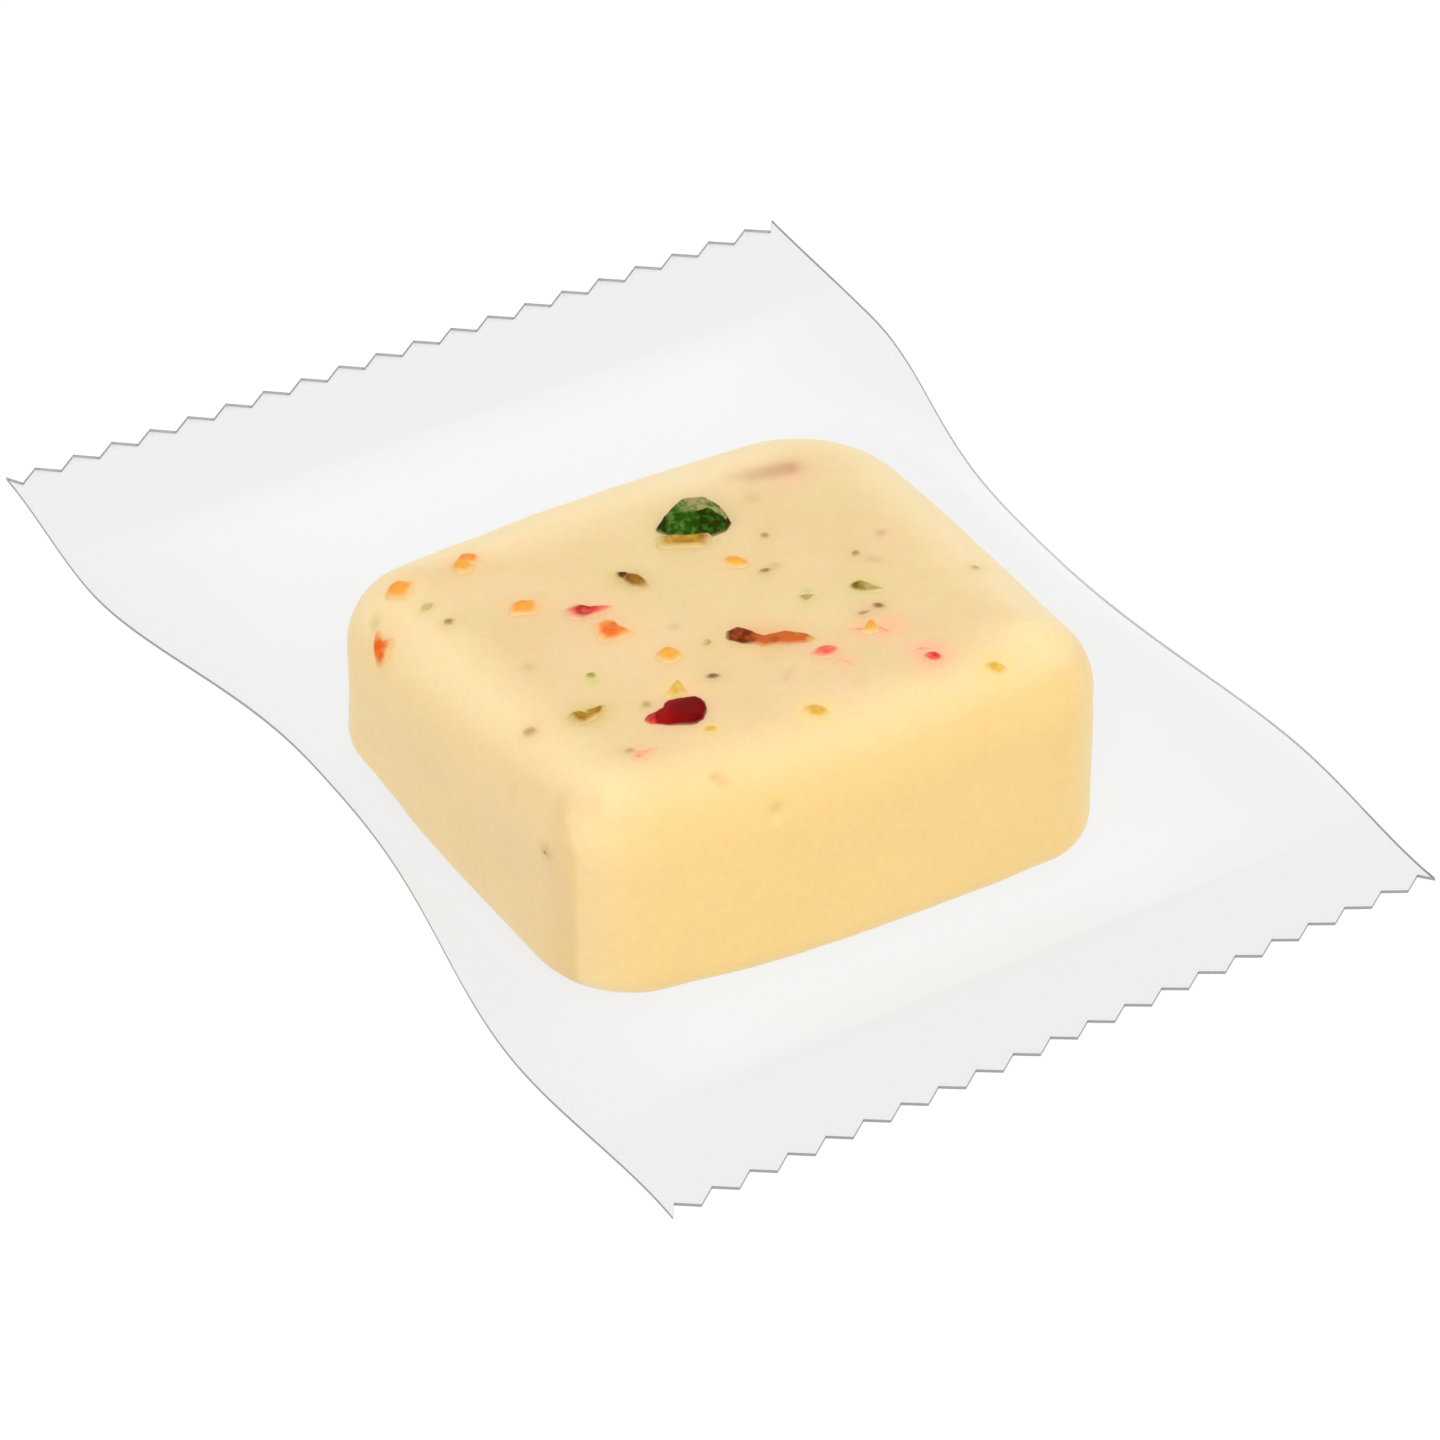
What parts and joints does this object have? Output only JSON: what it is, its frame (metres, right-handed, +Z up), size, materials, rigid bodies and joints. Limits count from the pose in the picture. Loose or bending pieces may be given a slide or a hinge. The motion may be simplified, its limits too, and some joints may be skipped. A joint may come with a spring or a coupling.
{
  "type": "barfi in a sealed clear pouch",
  "caption": "Block of milk sweet with chopped toppings, sealed in a clear film pouch with zigzag-cut ends; lies flat on its base.",
  "frame": {"origin": "centre of the pouch's outline at the level of the flat base it rests on", "axes": "+Z up; Y along the film tube from the front seal (-Y) to the back seal (+Y); X along the zigzag ends"},
  "size_m": [0.0586, 0.0828, 0.0184],
  "materials": {
    "clear_film": "gloss",
    "milk_sweet": "matte",
    "green_nut": "satin",
    "crimson_petal": "satin",
    "brown_nut": "satin",
    "orange_fruit": "satin",
    "pink_petal": "satin"
  },
  "bodies": {
    "root": {"sealed_pouch": "clear_film"}
  },
  "joints": []
}
